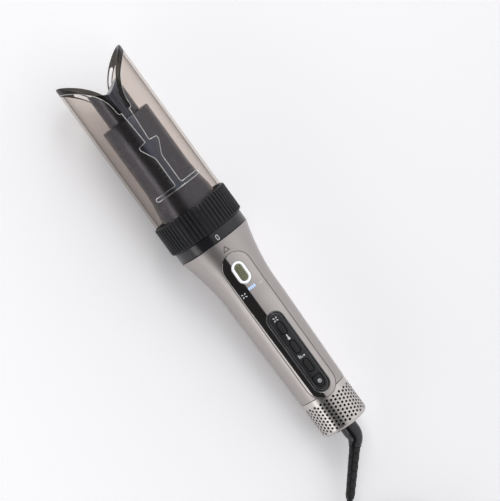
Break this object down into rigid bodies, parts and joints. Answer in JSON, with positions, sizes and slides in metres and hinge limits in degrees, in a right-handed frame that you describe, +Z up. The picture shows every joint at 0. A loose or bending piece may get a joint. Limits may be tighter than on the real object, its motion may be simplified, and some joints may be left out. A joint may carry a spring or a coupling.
{
  "type": "automatic hair curler",
  "caption": "Corded hot-air hair curler: waisted handle with a key panel, ribbed twist collar and a clear tube with a slotted mouth over an inner barrel.",
  "frame": {"origin": "on the table, below the middle of the wand's box (without the cord)", "axes": "+Y along the wand towards its tips, seen from above; +Z up, on the button side; +X to the right of the buttons. The wand leans 3.9 degrees up towards the tips, as it rests on its collar and its bottom rim."},
  "size_m": [0.1021, 0.5164, 0.0733],
  "materials": {
    "satin_silver": "satin",
    "dark_chrome": "polished dark chrome",
    "gloss_black": "gloss",
    "matte_black": "fine matt",
    "rib_black": "satin, ribbed",
    "smoked_clear": "clear smoked plastic",
    "smoked_dark": "gloss",
    "white_light": "lit, frosted",
    "soft_rubber": "satin rubber",
    "steel": "brushed",
    "brass": "bright",
    "copper": "enamelled copper wire",
    "mica": "mica sheet",
    "board_green": "solder mask"
  },
  "bodies": {
    "cord_set": {"swivel_elbow": "gloss_black", "slip_ring_1": "brass", "slip_ring_2": "brass", "strain_relief_boot": "soft_rubber", "power_cord": "soft_rubber", "cord_coil": "soft_rubber", "cord_tie": "matte_black", "plug_lead": "soft_rubber", "plug_body": "gloss_black", "plug_pin_1": "brass", "plug_pin_2": "brass"},
    "handle": {"handle_shell": "satin_silver", "control_strip": "dark_chrome", "led_bar": "white_light", "keypad_bezel": "matte_black", "light_ring": "white_light", "main_board": "board_green", "display_board": "board_green", "ion_switch": "steel", "heat_switch": "steel", "speed_switch": "steel", "power_switch": "steel", "curl_switch": "steel", "ion_generator": "matte_black", "motor_mount": "soft_rubber", "motor_can": "steel", "motor_stator": "copper", "rear_bearing": "steel", "front_bearing": "steel", "heater_tube": "mica", "heater_frame": "mica", "heater_coil": "copper", "thermal_cutout": "steel", "bayonet_socket": "gloss_black", "outlet_guard": "matte_black", "intake_cage": "matte_black", "filter_mesh": "steel", "swivel_bush": "soft_rubber", "contact_spring_1": "brass", "contact_spring_2": "brass"},
    "rotor": {"motor_shaft": "steel", "rotor_magnet": "matte_black", "impeller": "matte_black"},
    "filter": {"filter_sleeve": "satin_silver"},
    "head": {"head_base": "matte_black", "air_diverter": "matte_black", "lock_band": "gloss_black", "grip_collar": "rib_black", "smoked_tube": "smoked_clear", "lip_guide_left": "smoked_dark", "lip_guide_right": "smoked_dark", "curl_barrel": "matte_black", "barrel_core": "matte_black"},
    "ion_key": {"ion_button": "matte_black"},
    "heat_key": {"heat_button": "matte_black"},
    "speed_key": {"speed_button": "matte_black"},
    "power_key": {"power_button": "matte_black"},
    "curl_key": {"curl_button": "matte_black"}
  },
  "joints": [
    {"name": "cord_swivel", "type": "hinge", "parent": "cord_set", "child": "handle", "pos_m": [0, -0.16476, 0.02051], "axis": [0, 0.9977, 0.0676], "continuous": true},
    {"name": "filter_slide", "type": "slide", "parent": "handle", "child": "filter", "axis": [0, -0.9977, -0.0676], "range_m": [0, 0.022]},
    {"name": "head_twist", "type": "hinge", "parent": "handle", "child": "head", "pos_m": [0, 0.01483, 0.03267], "axis": [0, 0.9977, 0.0676], "range_deg": [0, 30]},
    {"name": "fan_spin", "type": "hinge", "parent": "handle", "child": "rotor", "pos_m": [0, -0.10789, 0.02436], "axis": [0, 0.9977, 0.0676], "continuous": true},
    {"name": "ion_press", "type": "slide", "parent": "handle", "child": "ion_key", "axis": [0, 0.0676, -0.9977], "range_m": [0, 0.0006], "stiffness_N_per_m": 600},
    {"name": "heat_press", "type": "slide", "parent": "handle", "child": "heat_key", "axis": [0, 0.0676, -0.9977], "range_m": [0, 0.0006], "stiffness_N_per_m": 600},
    {"name": "speed_press", "type": "slide", "parent": "handle", "child": "speed_key", "axis": [0, 0.0676, -0.9977], "range_m": [0, 0.0006], "stiffness_N_per_m": 600},
    {"name": "power_press", "type": "slide", "parent": "handle", "child": "power_key", "axis": [0, 0.0676, -0.9977], "range_m": [0, 0.0006], "stiffness_N_per_m": 600},
    {"name": "curl_press", "type": "slide", "parent": "handle", "child": "curl_key", "axis": [0, 0.0676, -0.9977], "range_m": [0, 0.0007], "stiffness_N_per_m": 600}
  ]
}
